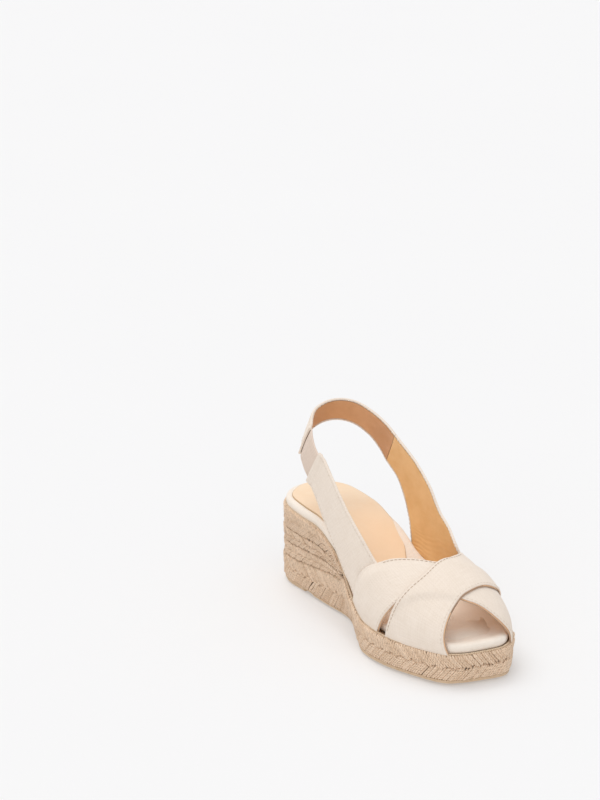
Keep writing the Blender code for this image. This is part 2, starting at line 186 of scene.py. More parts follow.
def loop_normals(loop):
    """Outward unit normals of a closed plan loop."""
    ahead = np.roll(loop, -1, axis=0) - np.roll(loop, 1, axis=0)
    normal = np.stack([ahead[:, 1], -ahead[:, 0]], axis=1)
    return normal / np.linalg.norm(normal, axis=1)[:, None]


def inward(loop, distance):
    """Move each point of a closed plan loop inward; distance is a number or f(y)."""
    amount = distance(loop[:, 1]) if callable(distance) else np.full(len(loop), distance)
    return loop - loop_normals(loop) * amount[:, None]


TOP = outline(HEEL_END_TOP, TOP_STATIONS, TOE_END_TOP)
GROUND = outline(HEEL_END_GROUND, GROUND_STATIONS, TOE_END_GROUND)
LOOP_NORMAL = loop_normals(TOP)
ARC = np.concatenate([[0.0], np.cumsum(np.linalg.norm(np.roll(TOP, -1, axis=0) - TOP, axis=1))])
ROUND = ARC[-1]                         # length of the outline
RING = len(TOP)


def around(values, arc):
    """Read a ring of values at distances along the outline."""
    closed = np.concatenate([values, values[:1]])
    arc = np.mod(arc, ROUND)
    return np.stack([np.interp(arc, ARC, closed[:, k]) for k in range(values.shape[1])], axis=-1)


def side_point(arc, height, out):
    """Point on the side wall: distance round, height, and distance out of the wall."""
    top = around(TOP, arc)
    ground = around(GROUND, arc)
    share = np.minimum(height / feather(top[..., 1]), 1.0)[..., None]
    flat = ground + (top - ground) * share + around(LOOP_NORMAL, arc) * np.asarray(out)[..., None]
    return np.concatenate([flat, np.asarray(height)[..., None]], axis=-1)


def arc_y(arc):
    """Length position y of the outline at a distance round it."""
    return around(TOP, arc)[..., 1]


# ---- mesh building -----------------------------------------------------------
class Batch:
    """Gathers points and faces, with their surface coordinates, for one object."""

    def __init__(self):
        self.points, self.coats, self.tints = [], [], []
        self.faces, self.skins, self.flat = [], [], []
        self.count = 0

    def add(self, points, faces, coat=None, tint=0.5, skin=0, flat=None):
        """Add points and faces; coat is one vector a point, skin a material index a face.

        flat marks the faces whose coat is their position in plan.
        """
        points = np.asarray(points, float).reshape(-1, 3)
        self.points.append(points)
        self.coats.append(np.zeros_like(points) if coat is None else np.asarray(coat, float).reshape(-1, 3))
        self.tints.append(np.broadcast_to(np.asarray(tint, float), (len(points),)))
        self.faces += [tuple(int(i) + self.count for i in face) for face in faces]
        self.skins += [skin] * len(faces) if np.isscalar(skin) else list(skin)
        self.flat += [False] * len(faces) if flat is None else list(flat)
        self.count += len(points)

    def build(self, name, materials, sharp=None):
        """Make the object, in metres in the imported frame."""
        mesh = bpy.data.meshes.new(name)
        points = (np.concatenate(self.points) - MIDDLE) * MM
        mesh.from_pydata(points.tolist(), [], self.faces)
        for made in materials:
            mesh.materials.append(made)
        mesh.polygons.foreach_set("material_index", self.skins)
        corner = np.zeros(len(mesh.loops), int)
        mesh.loops.foreach_get("vertex_index", corner)
        values = np.concatenate(self.coats)[corner]
        in_plan = np.repeat(self.flat, [len(face) for face in self.faces])
        values[in_plan] = np.concatenate(self.points)[corner][in_plan]
        coat = mesh.attributes.new("coat", "FLOAT_VECTOR", "CORNER")
        coat.data.foreach_set("vector", values.ravel())
        tint = mesh.attributes.new("tint", "FLOAT", "POINT")
        tint.data.foreach_set("value", np.concatenate(self.tints))
        mesh.update()
        mesh.shade_smooth()
        if sharp is not None:
            mesh.set_sharp_from_angle(angle=math.radians(sharp))
        made = bpy.data.objects.new(name, mesh)
        bpy.context.scene.collection.objects.link(made)
        return made


def unit(vectors):
    """Vectors scaled to length 1 along the last axis."""
    return vectors / np.maximum(np.linalg.norm(vectors, axis=-1, keepdims=True), 1e-9)


def tubes(batch, paths, normals, wide, high, tints, sides=6, skin=0):
    """Add closed yarns: paths and outward normals are (yarns, steps, 3) arrays.

    wide and high are the half-width and half-height of a yarn, numbers or arrays
    of (yarns, steps). The coat holds the cosine and sine round the yarn, and the
    distance along it.
    """
    paths = np.asarray(paths, float)
    yarns, steps = paths.shape[:2]
    tangent = unit(np.gradient(paths, axis=1))
    across = unit(np.cross(tangent, normals))
    up = np.cross(across, tangent)
    wide = np.broadcast_to(wide, (yarns, steps))
    high = np.broadcast_to(high, (yarns, steps))
    lengths = np.linalg.norm(np.diff(paths, axis=1), axis=2)
    along = np.concatenate([np.zeros((yarns, 1)), np.cumsum(lengths, axis=1)], axis=1)
    turn = np.arange(sides) * 2.0 * math.pi / sides
    cos, sin = np.cos(turn), np.sin(turn)
    points = (paths[:, :, None, :]
              + across[:, :, None, :] * (wide[:, :, None] * cos)[..., None]
              + up[:, :, None, :] * (high[:, :, None] * sin)[..., None])
    coat = np.stack(np.broadcast_arrays(cos[None, None, :], sin[None, None, :], along[:, :, None]), axis=-1)
    faces = []
    for i in range(steps - 1):
        for j in range(sides):
            k = (j + 1) % sides
            faces.append((i * sides + j, (i + 1) * sides + j, (i + 1) * sides + k, i * sides + k))
    last = (steps - 1) * sides
    caps = [tuple(range(sides)), tuple(last + j for j in range(sides - 1, -1, -1))]
    for yarn in range(yarns):
        batch.add(points[yarn], faces + caps, coat[yarn], tints[yarn], skin)


def loft(batch, rings, skin=0, cap_skin=None):
    """Closed solid through rings of equal length, capped across at both ends.

    skin is one material index, or a list with one for each span between rings.
    """
    count = len(rings[0])
    faces, skins, flat = [], [], []
    for level in range(len(rings) - 1):
        low, high = level * count, (level + 1) * count
        for i in range(count):
            j = (i + 1) % count
            faces.append((low + i, low + j, high + j, high + i))
        skins += [skin if np.isscalar(skin) else skin[level]] * count
        flat += [False] * count
    for start, turned in ((0, True), ((len(rings) - 1) * count, False)):
        half = count // 2
        cap = [(start, start + 1, start + count - 1)]
        for i in range(1, half - 1):
            cap.append((start + i, start + i + 1, start + count - i - 1, start + count - i))
        cap.append((start + half - 1, start + half, start + half + 1))
        faces += [tuple(reversed(face)) if turned else face for face in cap]
        skins += [skins[-1] if cap_skin is None else cap_skin] * len(cap)
        flat += [True] * len(cap)
    points = np.array(rings)
    up = np.linalg.norm(np.diff(points, axis=0), axis=2).mean(axis=1)
    profile = np.concatenate([[0.0], np.cumsum(up)])
    arc = np.linspace(0.0, ROUND, count, endpoint=False)
    zero = np.zeros((len(rings), count))
    coat = np.stack(np.broadcast_arrays(profile[:, None], arc[None, :], zero), axis=-1)
    batch.add(points, faces, coat, 0.5, skins, flat)


def outward_normals(grid, centre):
    """Unit normals of a grid of points, turned away from centre."""
    normal = unit(np.cross(np.gradient(grid, axis=0), np.gradient(grid, axis=1)))
    rows, columns = grid.shape[:2]
    middle = grid[rows // 2, columns // 2] - np.array(centre)
    if np.dot(normal[rows // 2, columns // 2], middle) < 0:
        normal = -normal
    return normal


def across_distance(grid):
    """Distance of each grid point from the first edge of its row, and the row's width."""
    steps = np.linalg.norm(np.diff(grid, axis=1), axis=2)
    across = np.concatenate([np.zeros((len(grid), 1)), np.cumsum(steps, axis=1)], axis=1)
    return across, across[:, -1:]


def along_distance(grid):
    """Distance of each row from the first, measured down the middle column."""
    middle = grid[:, grid.shape[1] // 2]
    return np.concatenate([[0.0], np.cumsum(np.linalg.norm(np.diff(middle, axis=0), axis=1))])


def edge_distance(grid):
    """Distance of each grid point from the nearer long edge."""
    across, width = across_distance(grid)
    return np.minimum(across, width - across)


def sheet(batch, grid, normal, inner, outer, skins=(0, 1, 2), round_edge=0.5, edge_width=0.0):
    """Add a closed thin sheet between two offsets of a grid, with rounded long edges.

    skins are the material indices of the outer face, the inner face and the edges;
    the edge skin also takes the outer edge_width of both faces.
    """
    rows, columns = grid.shape[:2]
    inner = np.broadcast_to(np.asarray(inner, float), (rows, columns))
    outer = np.broadcast_to(np.asarray(outer, float), (rows, columns))
    near = edge_distance(grid)
    rim = np.clip(1.0 - near / round_edge, 0.0, 1.0)
    full = 0.15 + 0.85 * np.sqrt(1.0 - rim**2)
    middle, half = 0.5 * (inner + outer), 0.5 * (outer - inner) * full
    low = grid + normal * (middle - half)[..., None]
    high = grid + normal * (middle + half)[..., None]
    across = across_distance(grid)[0]
    along = np.broadcast_to(along_distance(grid)[:, None], across.shape)
    coat = np.stack([across, along, np.zeros_like(across)], axis=-1)
    shift = rows * columns
    index = np.arange(shift).reshape(rows, columns)
    a, b, c, d = index[:-1, :-1], index[1:, :-1], index[1:, 1:], index[:-1, 1:]
    quads = np.stack([a, b, c, d], axis=-1).reshape(-1, 4)
    border = np.concatenate([index[:, 0], index[-1, 1:], index[-2::-1, -1], index[0, -2:0:-1]])
    after = np.roll(border, -1)
    rim_faces = np.stack([after, border, border + shift, after + shift], axis=-1)
    facing = np.cross(grid[1, 0] - grid[0, 0], grid[0, 1] - grid[0, 0])
    if np.dot(facing, normal[0, 0]) > 0:
        quads, rim_faces = quads[:, ::-1], rim_faces[:, ::-1]
    faces = np.concatenate([quads, quads[:, ::-1] + shift, rim_faces])
    edging = (0.5 * (near[:-1, :-1] + near[1:, 1:]) < edge_width).ravel()
    skin = np.concatenate([np.where(edging, skins[2], skins[1]), np.where(edging, skins[2], skins[0]),
                           np.full(len(rim_faces), skins[2])])
    batch.add(np.concatenate([low.reshape(-1, 3), high.reshape(-1, 3)]), faces.tolist(),
              np.concatenate([coat.reshape(-1, 3)] * 2), 0.5, skin)


def wander(points, size, seed):
    """Smooth random values from -1 to 1 at the points; size is the length of a wave."""
    points = np.asarray(points)
    flat = points.reshape(-1, 3) / size + seed
    return np.array([noise.noise(Vector(p)) for p in flat]).reshape(points.shape[:-1])


# ---- materials ---------------------------------------------------------------
class Nodes:
    """Small helper that adds shader nodes to a material and links them."""

    def __init__(self, name):
        self.material = bpy.data.materials.new(name)
        self.material.use_nodes = True
        self.tree = self.material.node_tree
        self.shader = self.tree.nodes["Principled BSDF"]

    def put(self, socket, value):
        """Set an input to a constant, or link it to another node's output."""
        if isinstance(value, bpy.types.NodeSocket):
            self.tree.links.new(value, socket)
        else:
            socket.default_value = value

    def node(self, kind, inputs, output=0, **settings):
        """Add a node with these settings and inputs, and return one of its outputs."""
        made = self.tree.nodes.new("ShaderNode" + kind)
        for key, value in settings.items():
            setattr(made, key, value)
        for key, value in inputs.items():
            self.put(made.inputs[key], value)
        return made.outputs[output]

    def math(self, operation, a, b=0.0):
        return self.node("Math", {0: a, 1: b}, operation=operation)

    def plus(self, a, b):
        return self.math("ADD", a, b)

    def times(self, a, b):
        return self.math("MULTIPLY", a, b)

    def attribute(self, name, output="Fac"):
        return self.node("Attribute", {}, output, attribute_name=name)

    def split(self, vector):
        """The three parts of a vector."""
        node = self.tree.nodes.new("ShaderNodeSeparateXYZ")
        self.put(node.inputs[0], vector)
        return node.outputs

    def join(self, x, y, z):
        """A vector from three parts."""
        return self.node("CombineXYZ", {0: x, 1: y, 2: z})

    def place(self):
        """Position on the object, in metres."""
        return self.node("TexCoord", {}, "Object")

    def stretch(self, vector, scale):
        """The vector with each part multiplied."""
        return self.node("VectorMath", {0: vector, 1: scale}, operation="MULTIPLY")

    def noise(self, vector, scale, detail=3.0, roughness=0.55):
        inputs = {"Vector": vector, "Scale": scale, "Detail": detail, "Roughness": roughness}
        return self.node("TexNoise", inputs, "Fac")

    def voronoi(self, vector, scale):
        return self.node("TexVoronoi", {"Vector": vector, "Scale": scale}, "Distance")

    def ramp(self, value, low, high, out_low=0.0, out_high=1.0):
        """Value mapped from low..high to out_low..out_high, and held outside."""
        inputs = {"Value": value, "From Min": low, "From Max": high, "To Min": out_low, "To Max": out_high}
        return self.node("MapRange", inputs, "Result", interpolation_type="SMOOTHSTEP")

    def mix(self, share, a, b):
        """Colour between a and b."""
        a, b = ((*c, 1.0) if isinstance(c, tuple) else c for c in (a, b))
        return self.node("Mix", {"Factor": share, "A": a, "B": b}, "Result", data_type="RGBA")

    def bump(self, height, strength, distance):
        inputs = {"Height": height, "Strength": strength, "Distance": distance}
        return self.node("Bump", inputs, "Normal")

    def finish(self, colour, roughness, normal=None, sheen=0.0, specular=0.3):
        """Set the Principled shader and return the material."""
        inputs = {"Base Color": colour, "Roughness": roughness, "Sheen Weight": sheen,
                  "Sheen Roughness": 0.5, "Specular IOR Level": specular}
        if normal is not None:
            inputs["Normal"] = normal
        for key, value in inputs.items():
            self.put(self.shader.inputs[key], value)
        return self.material


def canvas_material(name, light, dark, pitch=0.95):
    """Plain-weave canvas: two crossing sets of slubby threads, pitch in mm."""
    n = Nodes(name)
    flat = n.attribute("coat", "Vector")
    across, along, _ = n.split(flat)
    waver = n.times(n.noise(flat, 0.22, 2.0), 0.5)
    turn = math.pi / pitch
    warp = n.math("SINE", n.times(n.plus(across, waver), turn))
    weft = n.math("SINE", n.times(n.plus(along, waver), turn))
    ribs = n.plus(n.times(n.times(warp, weft), 0.35), n.times(weft, 0.2))
    slub_warp = n.noise(n.stretch(flat, (1.1, 0.10, 0.0)), 1.0, 2.0)
    slub_weft = n.noise(n.stretch(flat, (0.10, 1.1, 0.0)), 1.0, 2.0)
    threads = n.plus(n.times(slub_warp, 0.5), n.times(slub_weft, 0.5))
    height = n.plus(ribs, n.times(threads, 1.5))
    cloudy = n.noise(flat, 0.045, 3.0)
    # the ribs' share of the colour is painted shade, darker where the weave dips; the slubs and clouds are
    # the cloth's own uneven tone
    shade = n.plus(n.times(ribs, 0.14), n.plus(n.times(threads, 1.3), n.times(cloudy, 0.5)))
    colour = n.mix(n.ramp(shade, 0.45, 1.35), dark, light)
    return n.finish(colour, 0.88, n.bump(height, 0.55, 0.00022), sheen=0.12, specular=0.2)


def leather_material(name, light, dark, grain=1.0, roughness=0.5):
    """Fine-grained leather with soft cloudy colour and shallow creases."""
    n = Nodes(name)
    place = n.place()
    pores = n.voronoi(place, 1500.0 * grain)
    crease = n.noise(n.stretch(place, (1.0, 1.0, 1.6)), 140.0, 5.0, 0.62)
    cloudy = n.noise(place, 28.0, 4.0)
    height = n.plus(n.times(pores, 0.35), crease)
    # the crease term is painted shade, darker in the creases; the clouds are the leather's own tone
    shade = n.plus(n.times(cloudy, 0.8), n.times(crease, 0.25))
    colour = n.mix(n.ramp(shade, 0.35, 0.72), dark, light)
    gloss = n.ramp(crease, 0.3, 0.7, roughness + 0.1, roughness - 0.06)
    return n.finish(colour, gloss, n.bump(height, 0.35, 0.00012), specular=0.35)


def yarn_material(name, light, middle, dark, twist_pitch=2.4, relief=0.00035):
    """Twisted bast yarn: strands that wind round it, loose fibres, uneven colour, and painted shade in the
    grooves between strands.
    """
    n = Nodes(name)
    cos, sin, along = n.split(n.attribute("coat", "Vector"))
    tint = n.attribute("tint")
    turn = n.times(along, 2.0 * math.pi / twist_pitch)
    # sine of (turn + twice the angle round the yarn)
    double_cos = n.math("SUBTRACT", n.times(cos, cos), n.times(sin, sin))
    double_sin = n.times(n.times(cos, sin), 2.0)
    twist = n.plus(n.times(n.math("SINE", turn), double_cos), n.times(n.math("COSINE", turn), double_sin))
    own_place = n.join(n.times(along, 0.9), n.times(cos, 2.6), n.plus(n.times(sin, 2.6), n.times(tint, 40.0)))
    fibre = n.noise(own_place, 1.0, 4.0, 0.65)
    place = n.place()
    patches = n.noise(place, 95.0, 3.0)
    specks = n.noise(place, 620.0, 2.0, 0.7)
    height = n.plus(n.times(twist, 0.25), n.times(fibre, 1.6))
    mood = n.plus(n.times(tint, 0.7), n.plus(n.times(patches, 0.5), n.times(fibre, 0.5)))
    warm = n.mix(n.ramp(mood, 0.45, 1.1), middle, light)
    # painted shade: darker where the twist and the fibres sink, in the grooves between the strands
    painted_groove_shade = n.mix(n.ramp(n.plus(n.times(twist, 0.07), fibre), 0.56, 0.32, 0.0, 0.85), warm, dark)
    colour = n.mix(n.ramp(specks, 0.46, 0.32, 0.0, 0.45), painted_groove_shade, dark)
    return n.finish(colour, 0.92, n.bump(height, 0.8, relief), sheen=0.1, specular=0.15)


def speckled_material(name, light, dark, scale, roughness=0.8, relief=0.0003):
    """Mottled, slightly rough material such as cork, board, foam or crepe rubber."""
    n = Nodes(name)
    place = n.place()
    coarse = n.noise(place, scale, 5.0, 0.6)
    fine = n.noise(place, scale * 7.0, 3.0, 0.6)
    height = n.plus(coarse, n.times(fine, 0.5))
    shade = n.plus(n.times(coarse, 0.6), n.times(fine, 0.4))
    colour = n.mix(n.ramp(shade, 0.35, 0.65), dark, light)
    gloss = n.ramp(fine, 0.3, 0.7, roughness - 0.08, roughness + 0.08)
    return n.finish(colour, gloss, n.bump(height, 0.4, relief), specular=0.3)


def elastic_material(name, light, dark):
    """Woven elastic with ribs along its length."""
    rib, pick = 1.5, 0.9
    n = Nodes(name)
    flat = n.attribute("coat", "Vector")
    across, along, _ = n.split(flat)
    ribs = n.math("SINE", n.times(across, 2.0 * math.pi / rib))
    picks = n.math("SINE", n.times(along, 2.0 * math.pi / pick))
    fuzz = n.noise(flat, 1.3, 3.0)
    height = n.plus(n.times(ribs, 0.6), n.plus(n.times(picks, 0.25), n.times(fuzz, 0.6)))
    # painted shade: the colour follows the height, darker in the hollows between the ribs
    shade = n.plus(n.times(height, 0.35), n.times(fuzz, 0.5))
    colour = n.mix(n.ramp(shade, 0.0, 0.75), dark, light)
    return n.finish(colour, 0.85, n.bump(height, 0.5, 0.0002), sheen=0.1, specular=0.2)


CANVAS_SKIN = canvas_material("canvas_cream", (0.92, 0.815, 0.715), (0.83, 0.715, 0.605))
RAND_SKIN = canvas_material("canvas_footbed", (0.97, 0.88, 0.785), (0.90, 0.80, 0.69), pitch=0.8)
LINING_SKIN = canvas_material("lining_cotton", (0.92, 0.63, 0.39), (0.83, 0.53, 0.31), pitch=0.7)
TAN_SKIN = leather_material("leather_tan", (0.92, 0.575, 0.27), (0.82, 0.48, 0.20))
BLUSH_SKIN = leather_material("leather_heel_strap", (0.72, 0.385, 0.19), (0.60, 0.30, 0.135), grain=0.8)
SOCK_SKIN = leather_material("leather_sock", (0.97, 0.76, 0.55), (0.94, 0.71, 0.49), roughness=0.45)
EDGE_SKIN = leather_material("edge_brown", (0.50, 0.34, 0.24), (0.37, 0.24, 0.16), roughness=0.6)
SOCK_EDGE_SKIN = leather_material("edge_sock", (0.66, 0.46, 0.28), (0.56, 0.37, 0.21), roughness=0.6)
JUTE_SKIN = yarn_material("jute_yarn", (0.98, 0.76, 0.57), (0.87, 0.65, 0.465), (0.50, 0.34, 0.22))
# painted shade: the jute seen through the gaps of the plait, darkened for the shade there
JUTE_PAINTED_SHADE_SKIN = speckled_material("jute_behind_painted_shade", (0.50, 0.36, 0.24), (0.40, 0.27, 0.17), 900.0, 0.95)
TWINE_SKIN = yarn_material("jute_twine", (0.84, 0.66, 0.48), (0.72, 0.54, 0.37), (0.50, 0.35, 0.22), 1.5)
FIBRE_SKIN = speckled_material("jute_fibre", (0.90, 0.74, 0.57), (0.80, 0.62, 0.45), 400.0, 0.9)
RUBBER_SKIN = speckled_material("rubber_tan", (0.74, 0.56, 0.39), (0.65, 0.48, 0.32), 300.0, 0.72, 0.00015)
CORK_SKIN = speckled_material("cork", (0.47, 0.31, 0.17), (0.28, 0.17, 0.09), 420.0, 0.9)
BOARD_SKIN = speckled_material("fibre_board", (0.44, 0.34, 0.22), (0.33, 0.25, 0.16), 700.0, 0.9)
FOAM_SKIN = speckled_material("latex_foam", (0.82, 0.78, 0.69), (0.74, 0.69, 0.60), 1200.0, 0.95)
ELASTIC_SKIN = elastic_material("elastic_cream", (0.84, 0.70, 0.60), (0.66, 0.52, 0.42))
THREAD_SKIN = yarn_material("thread_beige", (0.72, 0.59, 0.47), (0.62, 0.49, 0.38), (0.44, 0.33, 0.25),
                            0.9, 0.0001)
PALE_THREAD_SKIN = yarn_material("thread_cream", (0.90, 0.80, 0.70), (0.82, 0.71, 0.60), (0.60, 0.49, 0.38),
                                 0.9, 0.0001)


# ---- sole unit ---------------------------------------------------------------
def wall_ring(height, inset=0.0):
    """Ring of points on the side wall at the height f(y), moved inward."""
    level = height(TOP[:, 1]) if callable(height) else np.full(RING, float(height))
    share = np.minimum(level / feather(TOP[:, 1]), 1.0)[:, None]
    flat = inward(GROUND + (TOP - GROUND) * share, inset)
    return np.concatenate([flat, level[:, None]], axis=1)


def keep_between(made, y_low, y_high):
    """Cut the object off outside two y planes, and close the cuts."""
    work = bmesh.new()
    work.from_mesh(made.data)
    for y, side in ((y_low, -1), (y_high, 1)):
        plane = (0.0, (y - MIDDLE[1]) * MM, 0.0)
        parts = work.verts[:] + work.edges[:] + work.faces[:]
        cut = bmesh.ops.bisect_plane(work, geom=parts, plane_co=plane, plane_no=(0, side, 0),
                                     clear_outer=True)
        edges = [e for e in cut["geom_cut"] if isinstance(e, bmesh.types.BMEdge)]
        if edges:
            bmesh.ops.contextual_create(work, geom=edges)
    work.to_mesh(made.data)
    work.free()
    made.data.set_sharp_from_angle(angle=math.radians(35))


def build_rubber():
    """Forefoot outsole and heel top piece with a moulded line, and a thin film under the waist."""
    rolled = [(0.0, 5.0), (0.6, 3.6), (1.0, 1.4), (1.3, -0.4), (1.7, -1.1)]
    square = [(0.0, 0.6), (0.2, 0.1), (0.6, -0.3), (1.1, -0.4), (1.7, -0.5)]
    upper = [(2.4, -1.1), (2.6, -0.9), (2.8, -1.1), (RUBBER - 0.45, -1.1), (RUBBER - 0.05, -0.6)]
    beyond = 200.0
    for name, foot, low, high in (("outsole_forefoot", rolled, -beyond, FOREFOOT_REAR),
                                  ("heel_top_piece", square, HEEL_FRONT, beyond)):
        batch = Batch()
        rings = [wall_ring(z, inset) for z, inset in foot + upper]
        for ring in rings:
            ring[:, 2] += TOE_SPRING * smooth((-55.0 - ring[:, 1]) / 50.0) * (1.0 - ring[:, 2] / RUBBER)
        loft(batch, rings)
        made = batch.build("rubber_" + name, [RUBBER_SKIN])
        keep_between(made, low, high)
        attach(made, "base")
        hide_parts(name)
    rings = []
    for drop, inset in ((1.5, 0.2), (1.4, -0.8), (1.1, -1.2), (0.3, -1.2), (0.0, -0.8), (-0.4, 1.2)):
        ring = wall_ring(RUBBER, inset)
        ring[:, 2] = underside(ring[:, 1]) - drop
        rings.append(ring)
    batch = Batch()
    loft(batch, rings)
    made = batch.build("rubber_waist_film", [RUBBER_SKIN])
    keep_between(made, FOREFOOT_REAR + 0.2, HEEL_FRONT - 0.2)
    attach(made, "base")


def wall_normals(arc):
    """Outward normals of the side wall, as 3-D vectors."""
    flat = around(LOOP_NORMAL, arc)
    return np.concatenate([flat, np.zeros(flat.shape[:-1] + (1,))], axis=-1)


def backing(batch, lower, upper, arcs, closed):
    """Inner wall behind a plait, a strip with a four-sided section; its dark colour is painted shade in the
    gaps between the strands.
    """
    y = arc_y(arcs)
    low, high = lower(y), upper(y)
    corners = ((low, -1.2), (high, -1.2), (high, -4.6), (low, -4.6))
    points = np.stack([side_point(arcs, height, np.full(len(arcs), out)) for height, out in corners], axis=1)
    count = len(arcs)
    faces = []
    for k in range(count if closed else count - 1):
        here, there = 4 * k, 4 * ((k + 1) % count)
        for i in range(4):
            j = (i + 1) % 4
            faces.append((here + i, there + i, there + j, here + j))
    if not closed:
        last = 4 * (count - 1)
        faces += [(0, 1, 2, 3), (last + 3, last + 2, last + 1, last)]
    batch.add(points, faces, skin=1)


def plait(batch, lower, upper, start, end, pitch, yarns, lean, rise, crown):
    """Add the strands of a flat plait between two heights, along part of the outline.

    Each strand is a bundle of yarns that runs from one edge to the zigzag middle
    line and dives under the strands of the other edge. lean is its run along the
    wall for each mm that it climbs.
    """
    count = max(int(round((end - start) / pitch)), 1)
    pitch = (end - start) / count
    t = 0.5 * np.linspace(0.0, 1.0, 15) + 0.25 * (1.0 - np.cos(np.linspace(0.0, math.pi, 15)))
    paths, normals, tints, wide = [], [], [], []
    for side in (1.0, -1.0):
        for i in range(count):
            place = start + (i + 0.5 - 0.25 * side) * pitch + RANDOM.normal(0.0, 0.02 * pitch)
            half = 0.5 * (upper(arc_y(place)) - lower(arc_y(place)))
            if half < LEAST_HALF:
                continue
            tone = RANDOM.uniform(0.15, 0.85)
            swell = RANDOM.normal(0.0, 0.18)
            bend = RANDOM.normal(0.0, 0.03)
            for yarn in range(yarns):
                q = (yarn - 0.5 * (yarns - 1)) / yarns
                tip = 0.24 * (1.0 - 4.0 * q * q) - 0.13 + RANDOM.normal(0.0, 0.03)
                v = 1.0 - t * (1.0 + tip)
                length = half * (1.0 + tip) * math.hypot(1.0, lean)
                lift = (0.5 + 0.5 * smooth(t * length / 1.5)) * smooth((1.0 - t) * length / 1.9)
                run = lean * half * (1.0 + bend) * (t * (1.0 + tip) - 0.5)
                arc = place + q * pitch + run + RANDOM.normal(0.0, 0.02) * pitch
                y = arc_y(arc)
                low, high = lower(y), upper(y)
                height = 0.5 * (low + high) + side * v * 0.5 * (high - low)
                out = (-1.0 + (rise + swell) * lift + crown * (1.0 - 4.0 * q * q) * lift
                       + RANDOM.normal(0.0, 0.12))
                paths.append(side_point(arc, height, out))
                normals.append(wall_normals(arc))
                tints.append(np.clip(tone + RANDOM.normal(0.0, 0.25), 0.0, 1.0))
                wide.append(0.65 * pitch / yarns / math.hypot(1.0, lean) * (0.8 + 0.2 * lift))
    paths = np.array(paths)
    wobble = 0.1 * np.stack([wander(paths, 2.3, seed) for seed in (3.0, 17.0, 31.0)], axis=-1)
    paths = paths + wobble
    wide = np.array(wide)
    tubes(batch, paths, np.array(normals), wide, wide * 0.95, tints)


def build_jute():
    """Wide base plait all round, and three rows round the wedge."""
    def base_top(y):
        return base_band_top(y) - 0.5 * ROW_GAP
    batch = Batch()
    arcs = np.linspace(0.0, ROUND, 240, endpoint=False)
    backing(batch, underside, base_top, arcs, closed=True)
    plait(batch, lambda y: underside(y) - 0.2, lambda y: base_top(y) + 0.1, 0.0, ROUND,
          pitch=8.7, yarns=5, lean=0.8, rise=1.6, crown=0.5)
    made = batch.build("plait_base", [JUTE_SKIN, JUTE_PAINTED_SHADE_SKIN])
    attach(made, "base")
    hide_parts("jute_base_plait")

    rows_start = arc_where(7.0, medial=True)
    rows_end = arc_where(7.0, medial=False)
    names = ("jute_row_lower", "jute_row_middle", "jute_row_upper")
    for name, low, high, lean in zip(names, ROW_SHARES, ROW_SHARES[1:], (1.25, 1.5, 1.35)):
        def lower(y, share=low):
            return row_edge(y, share) + 0.5 * ROW_GAP

        def upper(y, share=high):
            return row_edge(y, share) - 0.5 * ROW_GAP + (0.5 if share == 1.0 else 0.0)
        batch = Batch()
        backing(batch, lower, upper, np.linspace(rows_start, rows_end, 140), closed=False)
        plait(batch, lower, upper, rows_start, rows_end,
              pitch=7.4, yarns=4, lean=lean, rise=1.3, crown=0.4)
        made = batch.build("plait_" + name, [JUTE_SKIN, JUTE_PAINTED_SHADE_SKIN])
        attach(made, "base")
        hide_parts(name)


def arc_where(y, medial):
    """Distance round the outline where a side has this y; medial is negative, back from the heel."""
    half = RING // 2
    if medial:
        values, arcs = TOP[half:, 1], ARC[half:RING] - ROUND
        return float(np.interp(y, values, arcs))
    return float(np.interp(-y, -TOP[:half, 1], ARC[:half]))


def build_twine():
    """Bar stitches that hang over the groove under the lowest row."""
    batch = Batch()
    paths, normals, tints = [], [], []
    arc = arc_where(16.0, medial=True)
    t = np.linspace(0.0, 1.0, 9)
    while arc < arc_where(16.0, medial=False):
        arc += RANDOM.uniform(6.0, 13.0)
        top = base_band_top(arc_y(arc)) + RANDOM.uniform(0.6, 1.6)
        drop = RANDOM.uniform(3.2, 6.2)
        for strand in range(RANDOM.integers(1, 3)):
            slant = RANDOM.normal(0.0, 0.5)
            at = arc + 1.5 * strand + slant * t
            out = -0.5 + 1.9 * np.sin(math.pi * np.clip(t * 1.1, 0.0, 1.0)) ** 0.6
            paths.append(side_point(at, top - drop * t, out))
            normals.append(wall_normals(at))
            tints.append(RANDOM.uniform(0.2, 0.8))
    tubes(batch, paths, np.array(normals), 0.42, 0.38, tints)
    made = batch.build("twine_bar_stitches", [TWINE_SKIN])
    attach(made, "base")


def build_feather_cord():
    """Cord laid in the groove between the jute and the upper, all the way round."""
    arcs = np.linspace(0.0, ROUND, 420)
    y = arc_y(arcs)
    path = side_point(arcs, feather(y) + 0.1, np.full(len(arcs), -1.0))
    batch = Batch()
    tubes(batch, np.array([path]), np.array([wall_normals(arcs)]), 0.95, 0.8, [0.4])
    made = batch.build("jute_feather_cord", [TWINE_SKIN])
    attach(made, "base")


